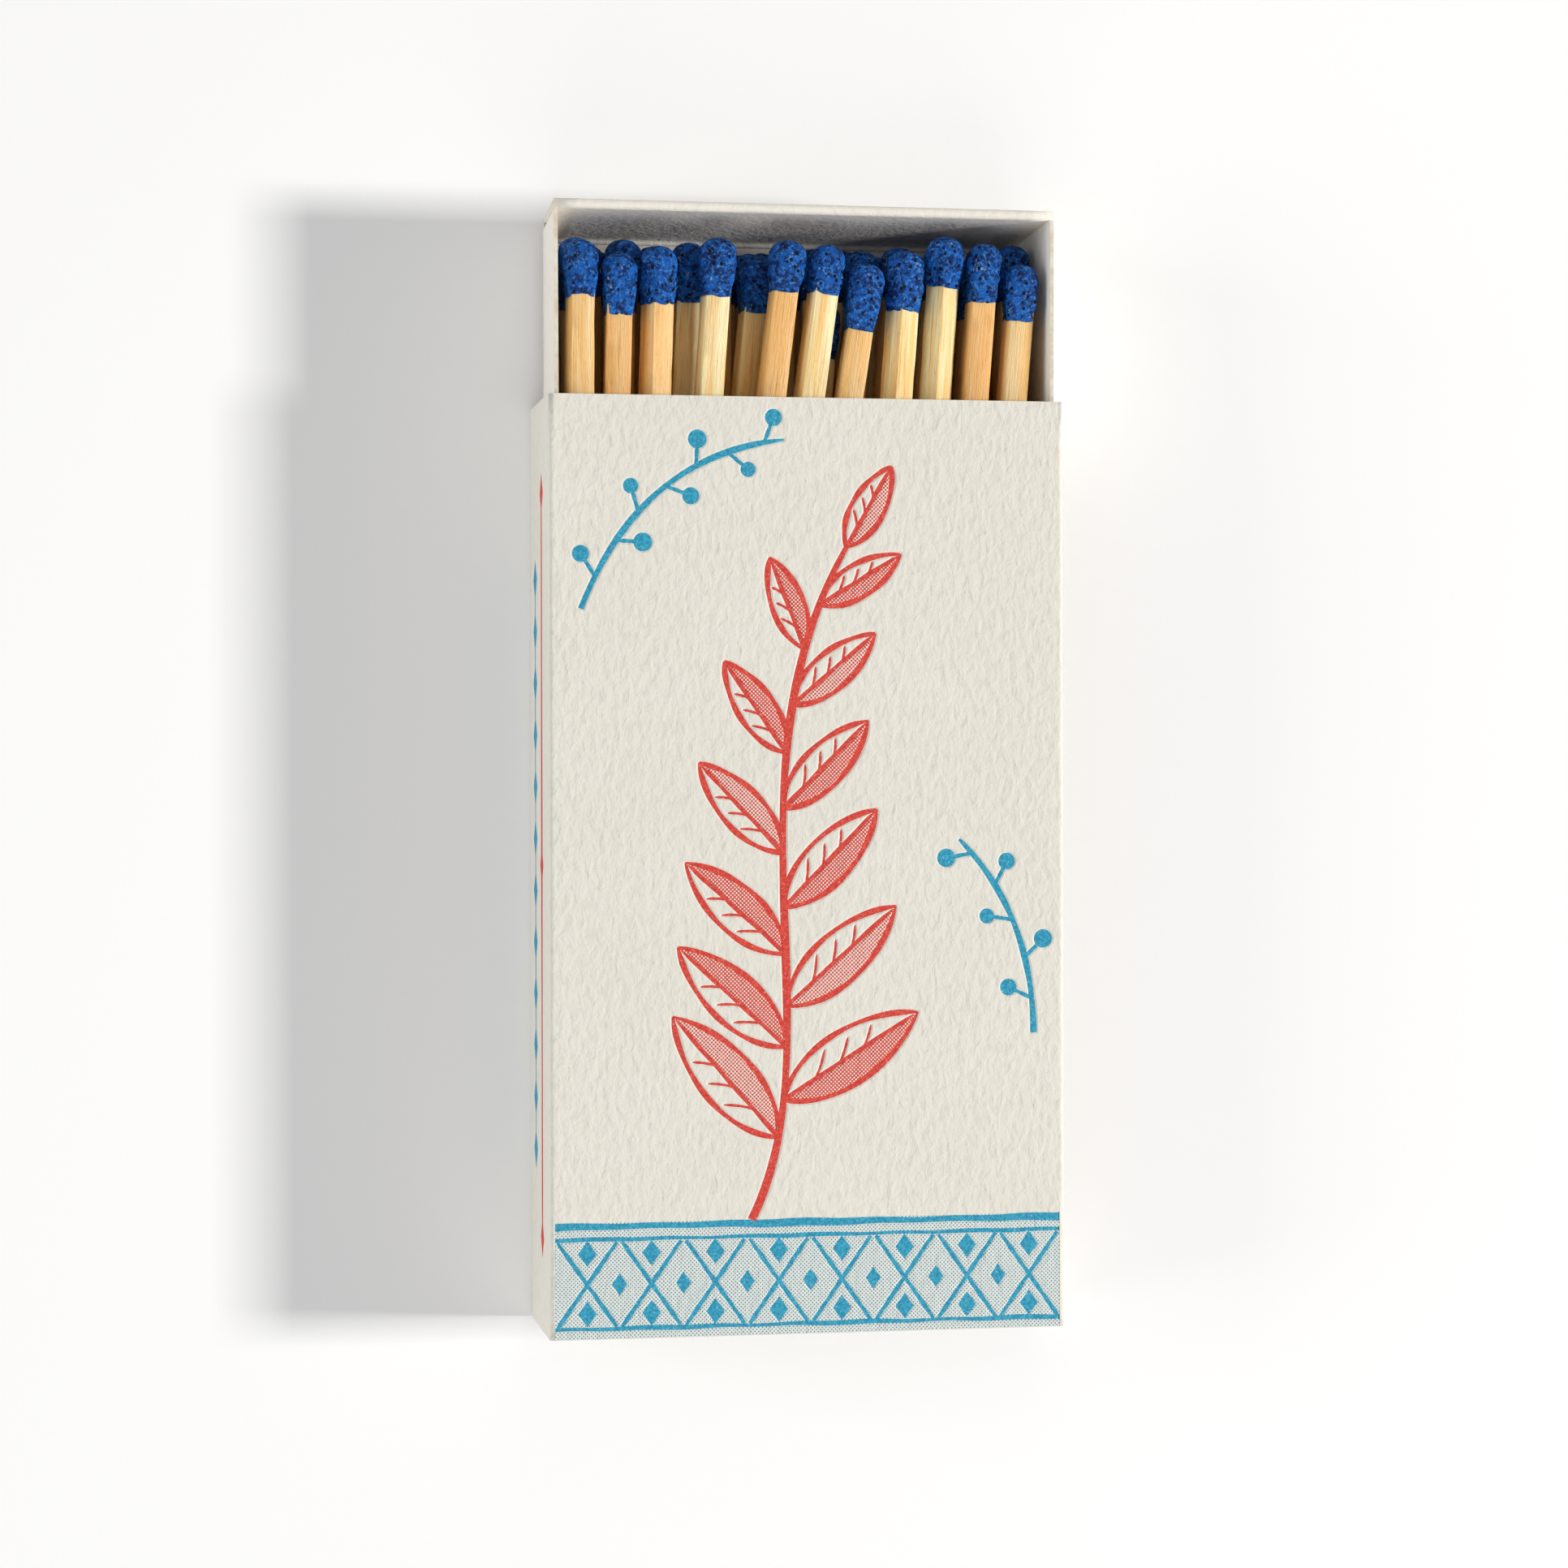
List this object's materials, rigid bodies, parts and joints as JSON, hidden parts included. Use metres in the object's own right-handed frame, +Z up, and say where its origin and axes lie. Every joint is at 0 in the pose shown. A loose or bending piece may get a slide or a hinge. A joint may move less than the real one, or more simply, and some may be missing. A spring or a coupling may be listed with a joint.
{
  "type": "matchbox",
  "caption": "Slide-open card matchbox: a folded sleeve with a striking side, and a drawer full of loose blue-tipped wooden matches.",
  "frame": {"origin": "centre of the sleeve's underside, on the face that the box lies on", "axes": "+Z up out of the printed front panel, +Y along the box the way the drawer is drawn open, +X across the box to the side with the striking strip"},
  "size_m": [0.0618, 0.1329, 0.0202],
  "materials": {
    "sleeve_card": "uncoated paperboard, soft fibre mottling",
    "drawer_card": "uncoated paperboard with raw cut edges",
    "splint_wood": "sawn aspen, waxed, unpolished",
    "match_head": "dry porous match-head compound, blue",
    "striking_surface": "rough dark red-brown striking compound",
    "ink_coral": "matt letterpress ink",
    "ink_coral_tint": "matt halftone tint of the coral ink",
    "ink_blue": "matt letterpress ink",
    "ink_blue_tint": "matt halftone tint of the blue ink"
  },
  "bodies": {
    "sleeve": {"sleeve": "sleeve_card", "striker_strip": "striking_surface", "print_band_tint": "ink_blue_tint", "print_band_lattice": "ink_blue", "print_branch_tint": "ink_coral_tint", "print_branch_lines": "ink_coral", "print_sprig_upper": "ink_blue", "print_sprig_side": "ink_blue", "print_side_rule": "ink_coral", "print_side_chain": "ink_blue"},
    "drawer": {"drawer": "drawer_card", "lower_match_sticks": "splint_wood", "lower_match_heads": "match_head", "second_match_01_stick": "splint_wood", "second_match_01_head": "match_head", "second_match_02_stick": "splint_wood", "second_match_02_head": "match_head", "second_match_03_stick": "splint_wood", "second_match_03_head": "match_head", "second_match_04_stick": "splint_wood", "second_match_04_head": "match_head", "second_match_05_stick": "splint_wood", "second_match_05_head": "match_head", "second_match_06_stick": "splint_wood", "second_match_06_head": "match_head", "second_match_07_stick": "splint_wood", "second_match_07_head": "match_head", "second_match_08_stick": "splint_wood", "second_match_08_head": "match_head", "second_match_09_stick": "splint_wood", "second_match_09_head": "match_head", "second_match_10_stick": "splint_wood", "second_match_10_head": "match_head", "top_match_01_stick": "splint_wood", "top_match_01_head": "match_head", "top_match_02_stick": "splint_wood", "top_match_02_head": "match_head", "top_match_03_stick": "splint_wood", "top_match_03_head": "match_head", "top_match_04_stick": "splint_wood", "top_match_04_head": "match_head", "top_match_05_stick": "splint_wood", "top_match_05_head": "match_head", "top_match_06_stick": "splint_wood", "top_match_06_head": "match_head", "top_match_07_stick": "splint_wood", "top_match_07_head": "match_head", "top_match_08_stick": "splint_wood", "top_match_08_head": "match_head", "top_match_09_stick": "splint_wood", "top_match_09_head": "match_head", "top_match_10_stick": "splint_wood", "top_match_10_head": "match_head", "top_match_11_stick": "splint_wood", "top_match_11_head": "match_head"}
  },
  "joints": [
    {"name": "drawer_slide", "type": "slide", "parent": "sleeve", "child": "drawer", "axis": [0, 1, 0], "range_m": [-0.1229, 0.0765]}
  ]
}
